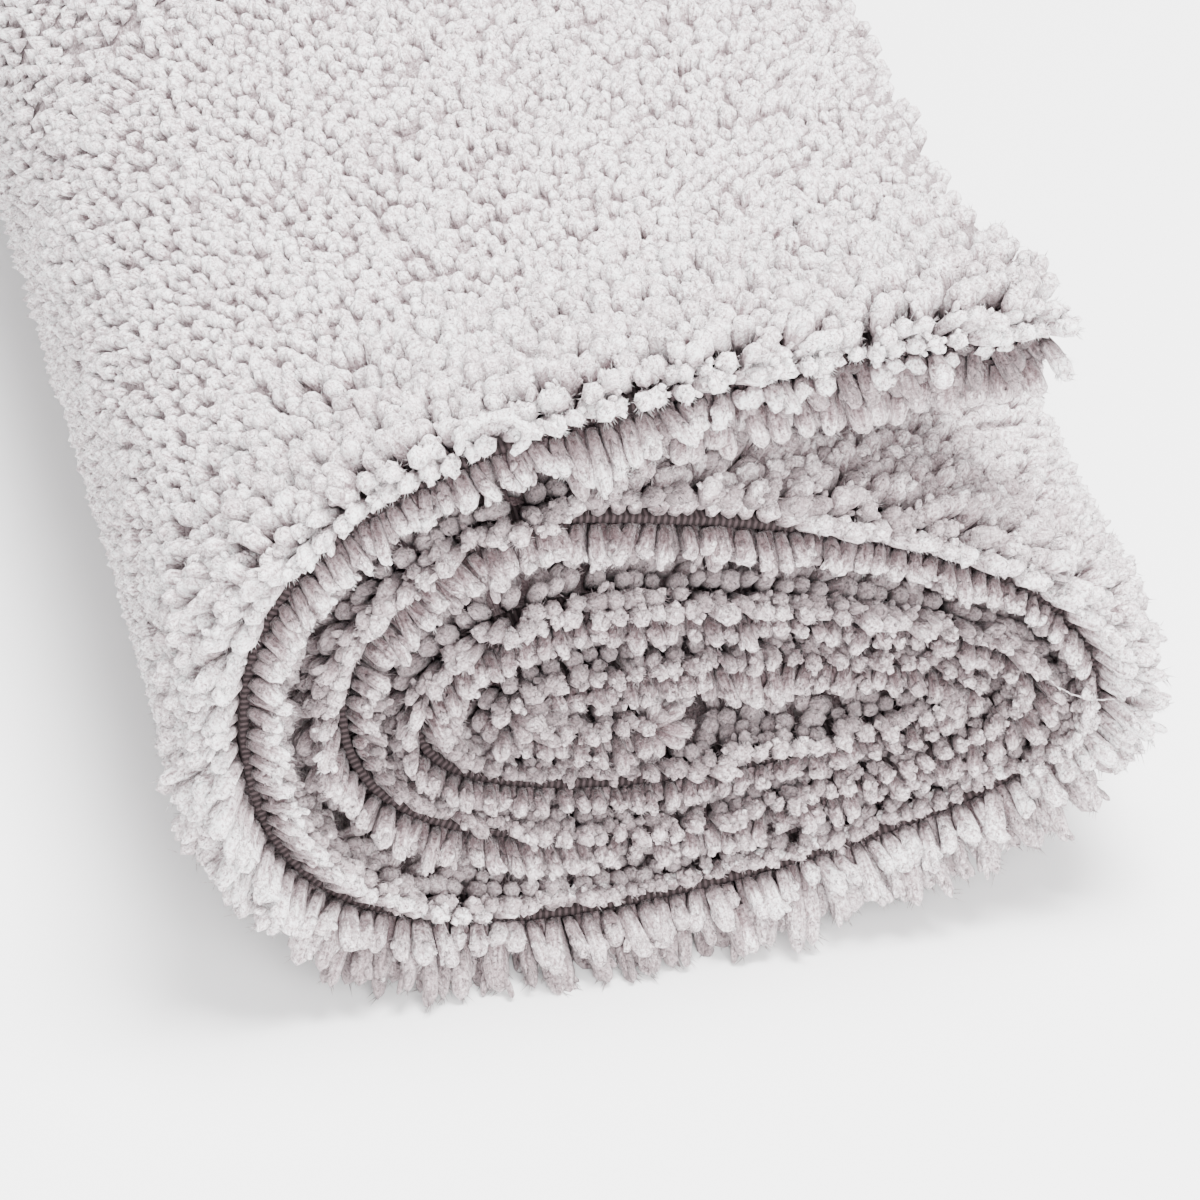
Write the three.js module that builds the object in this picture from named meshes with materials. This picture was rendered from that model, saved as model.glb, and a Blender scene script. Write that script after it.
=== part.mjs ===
import * as THREE from 'three';

// Rolled plush cleaning towel: one rectangle of thick cloth with long pile on
// both faces, rolled up from one of its short sides into a flattened roll.
// Millimetres, +Z up. The roll's axis runs along Y and its near end faces -Y.

const CLOTH_WIDTH = 300;     // across the cloth, along the roll's axis
const PILE = 4.9;            // height of the pile on each face where nothing presses it
const TURN_GAP = 0.9;        // air kept between the pile tips of two turns
const TIGHT_BEND = 0.8;      // inner pile reaches no deeper than this share of a bend's radius
const TURN_SAMPLES = 128;    // sections along the winding
const INNER_CLOSER = 1.3;    // above 1, the sections lie closer on the tighter inner turns
const NEIGHBOUR_AFTER = 11;  // along the winding, cloth nearer than this is not another turn
const PILE_SMOOTHING = 2;    // samples either side that share one pile height

const EDGE_ROUND = 2.0;      // the pile fans out and rounds off every cut edge over this depth
const EDGE_THICKNESS = 0.8;  // share of the pile left right at a cut edge
const EDGE_STEPS = [0, 0.3, 0.9];  // extra sections inside the rounded edge

const INNER_RECESS = 1.8;    // the innermost turn starts this far inside the roll's ends
const RECESS_DEPTH = 60;     // over this depth from either end
const LOOSE_CORNER = 4.0;    // the loose end stands out this much at its near corner
const CORNER_DEPTH = 17;     // and runs back to its usual line over this depth
const BOW = 0.7;             // sideways drift of the roll along its length
const SLUMP = 0.03;          // share of its height the roll loses towards the far end

// The winding as seen on the near end, from the loose end on top to the
// innermost end. Each row is a point where the cloth lies level or stands
// upright, and the next row is a quarter turn further in. "leave" and "arrive"
// are the lengths of the curve's handles as shares of the step: a large one
// keeps the cloth straight, a small one bends it at once.
const WINDING = [
  { place: 'loose end', x: 26.0, z: 46.8, leave: 0.52, arrive: 0.86 },
  { place: 'left 1', x: -29.5, z: 23.6, leave: 0.44, arrive: 0.86 },
  { place: 'bottom 1', x: -7.5, z: 4.2, leave: 0.34, arrive: 0.62 },
  { place: 'right 1', x: 30.0, z: 16.6, leave: 0.80, arrive: -0.02 },
  { place: 'top 2', x: -6.8, z: 36.3, leave: 0.58, arrive: 0.50 },
  { place: 'left 2', x: -22.7, z: 22.9, leave: 0.83, arrive: 0.41 },
  { place: 'bottom 2', x: 0.0, z: 9.8, leave: 0.38, arrive: 0.49 },
  { place: 'right 2', x: 25.6, z: 17.4, leave: 0.62, arrive: 0.17 },
  { place: 'top 3', x: -4.9, z: 27.9, leave: 0.66, arrive: 0.51 },
  { place: 'left 3', x: -17.4, z: 20.6, leave: 0.79, arrive: 0.43 },
  { place: 'bottom 3', x: 2.3, z: 13.6, leave: 0.14, arrive: 0.63 },
  { place: 'right 3', x: 21.2, z: 17.6, leave: 0.58, arrive: 0.28 },
  { place: 'top 4', x: -1.2, z: 22.9, leave: 0.71, arrive: 0.36 },
  { place: 'left 4', x: -11.6, z: 20.2, leave: 0.60, arrive: 0.50 },
  { place: 'inner end', x: -1.0, z: 17.9, leave: 0, arrive: 0 },
];

// Distances in from a roll's end where the cloth gets a section, up to the middle.
const LENGTH_STEPS = [...EDGE_STEPS, EDGE_ROUND, 5, 10, CORNER_DEPTH, 40, 75, 112, CLOTH_WIDTH / 2];

const clothColour = 0xd9d5d7;

// One Bezier quarter for each pair of rows. Even rows start level, odd rows upright.
function windingPath() {
  const path = new THREE.CurvePath();
  for (let i = 0; i + 1 < WINDING.length; i += 1) {
    const from = WINDING[i];
    const to = WINDING[i + 1];
    const dx = to.x - from.x;
    const dz = to.z - from.z;
    const startsLevel = i % 2 === 0;
    const leaveX = startsLevel ? dx * from.leave : 0;
    const leaveZ = startsLevel ? 0 : dz * from.leave;
    const arriveX = startsLevel ? 0 : dx * from.arrive;
    const arriveZ = startsLevel ? dz * from.arrive : 0;
    path.add(new THREE.CubicBezierCurve(
      new THREE.Vector2(from.x, from.z),
      new THREE.Vector2(from.x + leaveX, from.z + leaveZ),
      new THREE.Vector2(to.x - arriveX, to.z - arriveZ),
      new THREE.Vector2(to.x, to.z),
    ));
  }
  return path;
}

// Share of the full pile left at a distance from a cut edge: a quarter round.
function edgeShare(distance) {
  const reach = Math.min(distance / EDGE_ROUND, 1);
  return EDGE_THICKNESS + (1 - EDGE_THICKNESS) * Math.sqrt(1 - (1 - reach) ** 2);
}

// Places along the winding, as distances from the loose end, closer at both cut edges.
function windingPlaces(length, start) {
  const places = EDGE_STEPS.map((step) => start + step);
  const last = EDGE_STEPS.map((step) => length - step).reverse();
  for (let i = 0; i < TURN_SAMPLES; i += 1) {
    const first = start + EDGE_ROUND;
    const share = 1 - (1 - i / (TURN_SAMPLES - 1)) ** INNER_CLOSER;
    places.push(first + (length - EDGE_ROUND - first) * share);
  }
  return places.concat(last);
}

// Point and outward direction of the cloth's middle line at each place.
function samplesAt(path, length, places) {
  return places.map((place) => {
    const share = place / length;
    const point = path.getPointAt(share);
    const along = path.getTangentAt(share);
    return { place, point, outward: new THREE.Vector2(along.y, -along.x) };
  });
}

// Height the pile has on one face: full, or half the room to the next turn.
function pileHeights(samples, side) {
  const open = samples.map((here) => {
    let height = PILE;
    for (const other of samples) {
      const apart = other.point.clone().sub(here.point);
      const distance = apart.length();
      const facing = side * apart.dot(here.outward);
      if (Math.abs(other.place - here.place) > NEIGHBOUR_AFTER && facing > 0.6 * distance) {
        height = Math.min(height, (distance - TURN_GAP) / 2);
      }
    }
    return height;
  });
  // The lowest nearby height, then their mean, so that the pile changes gently
  // and never closes the gap.
  const near = (list, i) => list.slice(Math.max(0, i - PILE_SMOOTHING), i + PILE_SMOOTHING + 1);
  const lowest = open.map((_, i) => Math.min(...near(open, i)));
  return lowest.map((_, i) => near(lowest, i).reduce((sum, h) => sum + h, 0) / near(lowest, i).length);
}

// Radius of the bend at a sample, from the turn of its outward direction.
function bendRadius(samples, i) {
  const before = samples[Math.max(0, i - 1)];
  const after = samples[Math.min(samples.length - 1, i + 1)];
  const turn = Math.abs(before.outward.angleTo(after.outward));
  return (after.place - before.place) / Math.max(turn, 0.001);
}

// The two faces of the rolled cloth on one section, outer face first.
function facesFor(path, length, start) {
  const samples = samplesAt(path, length, windingPlaces(length, start));
  const outer = pileHeights(samples, 1);
  const inner = pileHeights(samples, -1);
  return samples.map(({ place, point, outward }, i) => {
    const share = Math.min(edgeShare(place - start), edgeShare(length - place));
    const innerHeight = Math.min(inner[i], TIGHT_BEND * bendRadius(samples, i));
    return {
      depth: place / length,
      middle: point,
      out: outward.clone().multiplyScalar(outer[i] * share),
      in: outward.clone().multiplyScalar(-innerHeight * share),
    };
  });
}

// Sections along the roll's axis, from the near end to the far end.
function lengthStations() {
  const half = CLOTH_WIDTH / 2;
  const near = LENGTH_STEPS.map((step) => ({ y: step - half, fromEdge: step, end: -1 }));
  const far = LENGTH_STEPS.slice(0, -1).reverse()
    .map((step) => ({ y: half - step, fromEdge: step, end: 1 }));
  return near.concat(far);
}

// How far round the loose end starts on a section: its near corner stands out.
function looseStart({ y }) {
  const back = Math.min((y + CLOTH_WIDTH / 2) / CORNER_DEPTH, 1);
  return LOOSE_CORNER * back * back * (3 - 2 * back);
}

// A point of the cloth in space: its drift and slump along the roll, the inner
// turns set in at the ends, and the pile that lies on the table pressed level.
function inSpace(point, station, depth) {
  const share = station.y / CLOTH_WIDTH + 0.5;
  const endReach = Math.max(0, 1 - station.fromEdge / RECESS_DEPTH);
  const recess = -station.end * INNER_RECESS * depth * endReach;
  const x = point.x + BOW * Math.sin(Math.PI * 1.5 * share);
  const z = point.y * (1 - SLUMP * share);
  return new THREE.Vector3(x, station.y + recess, Math.max(z, 0));
}

function rolledCloth() {
  const path = windingPath();
  const length = path.getLength();
  const positions = [];
  const rings = lengthStations().map((station) => {
    const faces = facesFor(path, length, looseStart(station));
    const share = edgeShare(station.fromEdge);
    const ring = faces.map(({ middle, out, depth }) => (
      inSpace(middle.clone().addScaledVector(out, share), station, depth)));
    const back = faces.map((face) => (
      inSpace(face.middle.clone().addScaledVector(face.in, share), station, face.depth)));
    const points = ring.concat(back.reverse());
    const first = positions.length / 3;
    for (const point of points) {
      positions.push(point.x, point.y, point.z);
    }
    return { first, count: points.length };
  });

  const indices = [];
  const quad = (a, b, c, d) => indices.push(a, b, c, a, c, d);
  for (let r = 0; r + 1 < rings.length; r += 1) {
    const { first, count } = rings[r];
    const next = rings[r + 1].first;
    for (let i = 0; i < count; i += 1) {
      const j = (i + 1) % count;
      quad(first + i, next + i, next + j, first + j);
    }
  }
  // Both ends are closed with strips from the outer face to the inner face.
  for (const [ring, far] of [[rings[0], false], [rings.at(-1), true]]) {
    for (let i = 0; i + 1 < ring.count / 2; i += 1) {
      const outerHere = ring.first + i;
      const innerHere = ring.first + ring.count - 1 - i;
      const corners = [outerHere, outerHere + 1, innerHere - 1, innerHere];
      quad(...(far ? corners.reverse() : corners));
    }
  }

  const geometry = new THREE.BufferGeometry();
  geometry.setAttribute('position', new THREE.Float32BufferAttribute(positions, 3));
  geometry.setIndex(indices);
  geometry.computeBoundingBox();
  const middle = geometry.boundingBox.getCenter(new THREE.Vector3());
  geometry.translate(-middle.x, -middle.y, 0);
  geometry.computeVertexNormals();
  return geometry;
}

const cloth = new THREE.Mesh(
  rolledCloth(),
  new THREE.MeshStandardMaterial({ color: clothColour, roughness: 1, metalness: 0 }),
);
cloth.name = 'towel_roll';

const towel = new THREE.Group();
towel.name = 'rolled_plush_towel';
towel.add(cloth);

export default towel;
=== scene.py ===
# %% [markdown]
# A rolled plush cleaning towel. The real thing is one rectangle of knitted
# cloth with long tufts of very fine fibre on both faces, rolled up and laid on
# its side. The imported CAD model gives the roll's outer shape and its size.
# This lesson dresses it: the knitted base that shows as thin lines on the end
# of the roll, the ground of the pile, and many thousands of tufts.

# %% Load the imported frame
import math

import bpy
import numpy as np
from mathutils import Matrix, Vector


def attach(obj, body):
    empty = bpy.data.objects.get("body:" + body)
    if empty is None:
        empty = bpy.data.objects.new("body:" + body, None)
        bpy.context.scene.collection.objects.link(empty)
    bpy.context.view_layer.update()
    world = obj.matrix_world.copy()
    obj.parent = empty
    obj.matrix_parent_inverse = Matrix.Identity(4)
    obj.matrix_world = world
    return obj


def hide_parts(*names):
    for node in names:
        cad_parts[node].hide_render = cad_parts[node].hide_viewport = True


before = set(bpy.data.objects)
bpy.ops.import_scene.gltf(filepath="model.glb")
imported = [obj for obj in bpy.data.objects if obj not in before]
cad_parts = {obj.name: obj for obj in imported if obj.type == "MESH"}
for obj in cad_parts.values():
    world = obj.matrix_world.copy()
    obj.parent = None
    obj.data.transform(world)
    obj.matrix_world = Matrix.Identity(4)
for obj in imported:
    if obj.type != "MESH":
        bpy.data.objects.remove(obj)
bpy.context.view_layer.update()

# %% [markdown]
# The cloth's middle line, seen on the end of the roll, is a flattened spiral.
# It could be drawn as one hand-placed curve, but a row for every quarter turn
# is easier to read and to change: each row is a place where the cloth lies
# level or stands upright, and a Bezier quarter joins it to the next. The rows
# are those of the CAD source, so the cloth follows the solid.

# %% The winding, in millimetres
MM = 0.001
WIDTH = 300.0          # the roll's length, pile included
BASE_HALF = 148.5      # half the knitted base's width: the pile reaches past it
PILE = 4.9             # pile height where nothing presses it
INNER_RECESS = 1.8     # inner turns are set in at the ends
RECESS_DEPTH = 60.0    # over this much of the length
LOOSE_CORNER = 4.0     # the loose end stands out at its near corner
CORNER_DEPTH = 17.0    # over this much of the length
LOOSE_SET_IN = 0.7     # the base stops this much short of the loose end
BOW = 0.7              # seen from above, the roll is bent this much
SLUMP = 0.03           # and its far end is lower by this share
CENTRE_X = 0.24        # puts the origin under the middle of the roll

# x and z of the place, then the lengths of the curve's handles
WINDING = {
    "loose end": (26.0, 46.8, 0.52, 0.86),
    "left 1": (-29.5, 23.6, 0.44, 0.86),
    "bottom 1": (-7.5, 4.2, 0.34, 0.62),
    "right 1": (30.0, 16.6, 0.80, -0.02),
    "top 2": (-6.8, 36.3, 0.58, 0.50),
    "left 2": (-22.7, 22.9, 0.83, 0.41),
    "bottom 2": (0.0, 9.8, 0.38, 0.49),
    "right 2": (25.6, 17.4, 0.62, 0.17),
    "top 3": (-4.9, 27.9, 0.66, 0.51),
    "left 3": (-17.4, 20.6, 0.79, 0.43),
    "bottom 3": (2.3, 13.6, 0.14, 0.63),
    "right 3": (21.2, 17.6, 0.58, 0.28),
    "top 4": (-1.2, 22.9, 0.71, 0.36),
    "left 4": (-11.6, 20.2, 0.60, 0.50),
    "inner end": (-1.0, 17.9, 0.0, 0.0),
}


def winding_line(steps=400):
    """The middle line as points, in millimetres, from the loose end inwards."""
    rows = list(WINDING.values())
    t = np.linspace(0, 1, steps, endpoint=False)[:, None]
    parts = []
    for i, (row, after) in enumerate(zip(rows, rows[1:])):
        start, end = np.array(row[:2]), np.array(after[:2])
        step = end - start
        level = np.array([1.0, 0.0]) if i % 2 == 0 else np.array([0.0, 1.0])
        leave = start + step * level * row[2]
        arrive = end - step * (1 - level) * row[3]
        parts.append((1 - t) ** 3 * start + 3 * (1 - t) ** 2 * t * leave
                     + 3 * (1 - t) * t ** 2 * arrive + t ** 3 * end)
    return np.vstack(parts + [np.array([rows[-1][:2]])])


line = winding_line()
line_at = np.r_[0, np.cumsum(np.linalg.norm(np.diff(line, axis=0), axis=1))]
LENGTH = line_at[-1]
print(f"the cloth is {LENGTH:.0f} mm long and {2 * BASE_HALF:.0f} mm wide")

# %% [markdown]
# Pile stands upright where it has room. Inside the roll the turns press on
# each other, so the room at each place is half the way to the next turn. It is
# measured here once, on a fine set of places along the cloth, for both faces.

# %% Direction and room at every place along the cloth
FINE = 1600            # places along the cloth
OTHER_TURN = 11.0      # cloth this far along the winding counts as another turn
FACING = 0.7           # if this share of the way there leads off the face
ROOM_OVER = 6          # places to each side that the room is averaged over
fine_at = np.linspace(0, LENGTH, FINE)
fine_mid = np.c_[np.interp(fine_at, line_at, line[:, 0]),
                 np.interp(fine_at, line_at, line[:, 1])]
fine_dir = np.gradient(fine_mid, axis=0)
fine_dir /= np.linalg.norm(fine_dir, axis=1)[:, None]
fine_out = np.c_[fine_dir[:, 1], -fine_dir[:, 0]]


def smooth(values, width):
    """A running mean over 2 * width + 1 places."""
    kernel = np.ones(2 * width + 1) / (2 * width + 1)
    return np.convolve(np.pad(values, width, mode="edge"), kernel, mode="valid")


def pile_room(side, gap=0.5):
    """Half the clear way to the next turn on one face, at most the pile's height."""
    apart = fine_mid[None] - fine_mid[:, None]
    distance = np.linalg.norm(apart, axis=2)
    facing = side * (apart * fine_out[:, None]).sum(axis=2)
    other = np.abs(fine_at[None] - fine_at[:, None]) > OTHER_TURN
    reach = np.where(other & (facing > FACING * distance), (distance - gap) / 2, PILE)
    return smooth(np.minimum(reach.min(axis=1), PILE), ROOM_OVER)


room = {+1: pile_room(+1), -1: pile_room(-1)}
print("least room outside and inside, mm:", room[1].min().round(2), room[-1].min().round(2))


def at(values, s):
    """A fine table read at the places s."""
    return np.interp(s, fine_at, values)


def loose_start(y):
    """Where along the winding the base begins: set in, as the tufts reach past it."""
    back = np.clip((y + WIDTH / 2) / CORNER_DEPTH, 0, 1)
    return LOOSE_SET_IN + LOOSE_CORNER * back * back * (3 - 2 * back)


def in_space(s, y, x, z):
    """A point of the section put in its place in the roll, as in the CAD source."""
    share = y / WIDTH + 0.5
    edge = np.clip(1 - (WIDTH / 2 - np.abs(y)) / RECESS_DEPTH, 0, 1)
    recess = -np.sign(y) * INNER_RECESS * (s / LENGTH) * edge
    return np.stack([x + BOW * np.sin(1.5 * math.pi * share) - CENTRE_X,
                     y + recess,
                     np.maximum(z * (1 - SLUMP * share), 0)], axis=-1)


def on_cloth(s, y, height):
    """A point at a height over the middle line: plus is the outer face."""
    x = at(fine_mid[:, 0], s) + at(fine_out[:, 0], s) * height
    z = at(fine_mid[:, 1], s) + at(fine_out[:, 1], s) * height
    return in_space(s, y, x, z)


# %% [markdown]
# Cloth is uneven, but never at random from one thread to the next: neighbours
# lean and bunch together. Smooth noise gives that. Blender's noise textures
# work on materials, and for placing tufts a small table of seeded random
# numbers, read smoothly between its cells, is enough.

# %% Seeded smooth noise
SEED = 41
rng = np.random.default_rng(SEED)
NOISE_CELLS = 64
noise_tables = rng.uniform(-1, 1, (12, NOISE_CELLS, NOISE_CELLS))
print("noise tables and their cells:", noise_tables.shape)


def soft_noise(u, v, table):
    """Smooth noise from -1 to 1 at places (u, v), one cell a unit."""
    grid = noise_tables[table]
    u0, v0 = np.floor(u).astype(int), np.floor(v).astype(int)
    fu, fv = u - u0, v - v0
    fu, fv = fu * fu * (3 - 2 * fu), fv * fv * (3 - 2 * fv)
    u0, v0, u1, v1 = (cell % NOISE_CELLS for cell in (u0, v0, u0 + 1, v0 + 1))
    return ((grid[u0, v0] * (1 - fu) + grid[u1, v0] * fu) * (1 - fv)
            + (grid[u0, v1] * (1 - fu) + grid[u1, v1] * fu) * fv)


# %% [markdown]
# The pile's finish has two effects, and each is a node group, so that it can be built and changed
# on its own: the colour from the shaded root of a tuft to its bright tip, which is painted shade,
# and the grain of its fine fibres. They read what each tuft carries with it: how far up the tuft a
# point is, and a tone of its own, which varies at random and is painted darker where shade falls.
# A picture of fur would do the same from one side only.

# %% Helpers for materials
def group(name, inputs, outputs):
    """An empty shader node group with named inputs and outputs."""
    made = bpy.data.node_groups.new(name, "ShaderNodeTree")
    for label, kind, value in inputs:
        socket = made.interface.new_socket(label, in_out="INPUT", socket_type=kind)
        if value is not None:
            socket.default_value = value
    for label, kind in outputs:
        made.interface.new_socket(label, in_out="OUTPUT", socket_type=kind)
    return made, made.nodes.new("NodeGroupInput"), made.nodes.new("NodeGroupOutput")


def node(tree, kind, **settings):
    """A node with its settings, where in_2 is the value of its third input."""
    made = tree.nodes.new(kind)
    for key, value in settings.items():
        if key.startswith("in_"):
            made.inputs[int(key[3:])].default_value = value
        else:
            setattr(made, key, value)
    return made


def wire(tree, *links):
    """Links given as (node, its output, next node, its input)."""
    for source, output, target, socket in links:
        tree.links.new(source.outputs[output], target.inputs[socket])


def ramp(tree, stops, interpolation="EASE"):
    """A colour ramp with stops of (place, colour), its two ends first."""
    made = tree.nodes.new("ShaderNodeValToRGB")
    made.color_ramp.interpolation = interpolation
    elements = made.color_ramp.elements
    for i, (place, colour) in enumerate(stops):
        element = elements[i] if i < 2 else elements.new(place)
        element.position = place
        element.color = (*colour, 1)
    return made


# %% The pile's colour, from root to tip
pile_colour, inside, outside = group(
    "pile colour",
    [("Tip", "NodeSocketFloat", 1.0), ("Tone", "NodeSocketFloat", 0.5),
     ("Streak", "NodeSocketFloat", 0.5), ("Fuzz", "NodeSocketFloat", 0.5)],
    [("Color", "NodeSocketColor")])
reach = node(pile_colour, "ShaderNodeMath", operation="MULTIPLY_ADD", in_1=0.9, in_2=-0.45)
ragged = node(pile_colour, "ShaderNodeMath", operation="ADD", use_clamp=True)
# painted shade: a tuft darkens towards its root, where the tufts shade each other
shade = ramp(pile_colour, [(0.0, (0.105, 0.076, 0.078)), (0.88, (1.0, 0.975, 0.98)),
                           (0.34, (0.25, 0.191, 0.198)), (0.62, (0.56, 0.484, 0.496))])
tone = node(pile_colour, "ShaderNodeMath", operation="MULTIPLY_ADD", in_1=0.72, in_2=0.20)
streaked = node(pile_colour, "ShaderNodeMath", operation="MULTIPLY_ADD", in_1=1.5, in_2=0.22)
fuzzed = node(pile_colour, "ShaderNodeMath", operation="MULTIPLY_ADD", in_1=3.2, in_2=-0.65)
fine = node(pile_colour, "ShaderNodeMath", operation="MULTIPLY")
both = node(pile_colour, "ShaderNodeMath", operation="MULTIPLY")
# the darker the tone and the fibres, the warmer the colour: this tints the painted shade and the
# darker fibres alike
warm = ramp(pile_colour, [(0.0, (0.0, 0.0, 0.0)), (1.0, (1.0, 0.985, 0.99)),
                          (0.3, (0.32, 0.257, 0.265)), (0.7, (0.71, 0.648, 0.658))], "LINEAR")
scaled = node(pile_colour, "ShaderNodeVectorMath", operation="MULTIPLY")
limited = node(pile_colour, "ShaderNodeVectorMath", operation="MINIMUM", in_1=(0.92, 0.92, 0.92))
wire(pile_colour,
     (inside, "Streak", reach, 0), (inside, "Tip", ragged, 0), (reach, 0, ragged, 1),
     (ragged, 0, shade, "Fac"), (inside, "Tone", tone, 0), (inside, "Streak", streaked, 0),
     (inside, "Fuzz", fuzzed, 0), (streaked, 0, fine, 0), (fuzzed, 0, fine, 1),
     (tone, 0, both, 0), (fine, 0, both, 1), (both, 0, warm, "Fac"),
     (shade, "Color", scaled, 0), (warm, "Color", scaled, 1), (scaled, 0, limited, 0),
     (limited, 0, outside, "Color"))
print("nodes of the pile's colour:", len(pile_colour.nodes))

# %% The fine fibres: streaks along each tuft and fuzz all over it
fibre_grain, inside, outside = group(
    "fibre grain",
    [("Tuft UV", "NodeSocketVector", None), ("Tone", "NodeSocketFloat", 0.5),
     ("Position", "NodeSocketVector", None),
     ("Across", "NodeSocketFloat", 11.0), ("Along", "NodeSocketFloat", 2.2)],
    [("Streak", "NodeSocketFloat"), ("Fuzz", "NodeSocketFloat"), ("Height", "NodeSocketFloat")])
split = node(fibre_grain, "ShaderNodeSeparateXYZ")
across = node(fibre_grain, "ShaderNodeMath", operation="MULTIPLY")
along = node(fibre_grain, "ShaderNodeMath", operation="MULTIPLY")
offset = node(fibre_grain, "ShaderNodeMath", operation="MULTIPLY", in_1=97.0)
joined = node(fibre_grain, "ShaderNodeCombineXYZ")
# a noise texture's inputs 2 to 4 are scale, detail and roughness, and 8 distortion
grain =node(fibre_grain, "ShaderNodeTexNoise", in_2=1.0, in_3=3.0, in_4=0.62)
fuzz = node(fibre_grain, "ShaderNodeTexNoise", in_2=4200.0, in_3=2.0, in_4=0.7, in_8=0.6)
total = node(fibre_grain, "ShaderNodeMath", operation="ADD")
wire(fibre_grain,
     (inside, "Tuft UV", split, 0), (split, "X", across, 0), (inside, "Across", across, 1),
     (split, "Y", along, 0), (inside, "Along", along, 1), (inside, "Tone", offset, 0),
     (across, 0, joined, "X"), (along, 0, joined, "Y"), (offset, 0, joined, "Z"),
     (joined, 0, grain, "Vector"), (inside, "Position", fuzz, "Vector"),
     (grain, "Fac", total, 0), (fuzz, "Fac", total, 1), (grain, "Fac", outside, "Streak"),
     (fuzz, "Fac", outside, "Fuzz"), (total, 0, outside, "Height"))
print("nodes of the fibre grain:", len(fibre_grain.nodes))


# %% The plush material
GRAIN_BUMP = 0.8
GRAIN_RELIEF = 0.0004  # metres


def plush_material(name):
    """Soft matt fibre: colour by height on the tuft, grain, and a sheen."""
    made = bpy.data.materials.new(name)
    made.use_nodes = True
    tree = made.node_tree
    shader = tree.nodes["Principled BSDF"]
    tip = node(tree, "ShaderNodeAttribute", attribute_name="tip")
    tone = node(tree, "ShaderNodeAttribute", attribute_name="tone")
    uv = node(tree, "ShaderNodeUVMap", uv_map="tuft")
    place = node(tree, "ShaderNodeTexCoord")
    colour = node(tree, "ShaderNodeGroup", node_tree=pile_colour)
    fibre = node(tree, "ShaderNodeGroup", node_tree=fibre_grain)
    height = node(tree, "ShaderNodeBump", in_0=GRAIN_BUMP, in_1=GRAIN_RELIEF)
    wire(tree, (uv, "UV", fibre, "Tuft UV"), (tone, "Fac", fibre, "Tone"),
         (place, "Object", fibre, "Position"), (tip, "Fac", colour, "Tip"),
         (tone, "Fac", colour, "Tone"), (fibre, "Streak", colour, "Streak"),
         (fibre, "Fuzz", colour, "Fuzz"), (fibre, "Height", height, "Height"),
         (height, "Normal", shader, "Normal"), (colour, "Color", shader, "Base Color"))
    shader.inputs["Roughness"].default_value = 0.95
    shader.inputs["Specular IOR Level"].default_value = 0.1
    shader.inputs["Sheen Weight"].default_value = 0.35
    shader.inputs["Sheen Tint"].default_value = (1.0, 0.93, 0.94, 1)
    shader.inputs["Sheen Roughness"].default_value = 0.5
    return made


pile_material = plush_material("plush pile")
print("materials:", [m.name for m in bpy.data.materials])

# %% [markdown]
# The ground of the pile is what shows between the tufts: a dense, shaded mass
# of fibre over the base. A closed spiral strip gives it. It is laid out on a
# grid of places along and across the cloth, because no primitive comes near
# such a shape, and it stops short of the ends, so that only tufts show there.


# %% A closed strip that follows the winding
def strip(name, outer, inner, stations, count, inner_closer=1.3):
    """A strip between two heights over the middle line, given for places (s, y)."""
    rings, places = [], []
    spread = 1 - (1 - np.linspace(0, 1, count)) ** inner_closer
    for y in stations:
        s = loose_start(y) + (LENGTH - loose_start(y)) * spread
        y = np.full(count, y)
        rings.append(np.vstack([on_cloth(s, y, outer(s, y)), on_cloth(s, y, -inner(s, y))[::-1]]))
        places.append(np.vstack([np.c_[s, y], np.c_[s, y][::-1]]))
    co = np.vstack(rings) * MM
    ring = 2 * count
    faces = []
    for r in range(len(stations) - 1):
        for i in range(ring):
            j = (i + 1) % ring
            faces.append((r * ring + i, (r + 1) * ring + i, (r + 1) * ring + j, r * ring + j))
    last = (len(stations) - 1) * ring
    for i in range(count - 1):
        a, b, c, d = i, i + 1, ring - 2 - i, ring - 1 - i
        faces.append((a, b, c, d))
        faces.append((last + d, last + c, last + b, last + a))
    mesh = bpy.data.meshes.new(name)
    mesh.from_pydata(co.tolist(), [], faces)
    mesh.shade_smooth()
    made = bpy.data.objects.new(name, mesh)
    bpy.context.scene.collection.objects.link(made)
    return made, np.vstack(places)


# %% The ground of the pile
GROUND_SET_IN = 2.6    # it stops this much short of the base's cut edges
OPEN_UNTIL = 186.0     # the outer face shows from the loose end to here
TIPS_CLEAR = 0.35      # tips stand at least this much out of the ground
SHALLOW = 3.0          # up to this far from a cut edge the ground is lowest
SHOWN_LEAST, SHOWN_MORE = 0.56, 0.20   # its share of the pile's height where it shows
HIDDEN_LEAST, HIDDEN_MORE = 0.50, 0.45 # and between the turns


def ground_share(s, y, side):
    """How much of the pile's height the ground fills: most of it where only tips show."""
    deep = BASE_HALF - np.abs(y) - SHALLOW
    shown = (side > 0) & (s < OPEN_UNTIL)
    return np.where(shown, SHOWN_LEAST + SHOWN_MORE * np.clip(deep / 12.0, 0, 1),
                    HIDDEN_LEAST + HIDDEN_MORE * np.clip(deep / 4.0, 0, 1))


def ground_height(s, y, side):
    """How high the ground stands over the middle line on one face."""
    free = at(room[side], s)
    return np.minimum(free * ground_share(s, y, side), free - TIPS_CLEAR)


ground_y = BASE_HALF - GROUND_SET_IN - np.array([0, 2, 5, 9, 14, 40, 70, 105, 140])
ground_y = np.unique(np.r_[-ground_y, ground_y])
ground, ground_places = strip("pile_ground", lambda s, y: ground_height(s, y, +1),
                              lambda s, y: ground_height(s, y, -1), ground_y, 200)
print("ground faces:", len(ground.data.polygons))

# %% [markdown]
# The knitted base is a thin sheet. It shows only on its cut edges, as the dark line in the middle
# of every turn; that dark is painted shade. It is the cloth's real sheet, 0.3 by 0.4 m flat.

# %% The knitted base
BASE_THICK = 0.6       # millimetres


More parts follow.
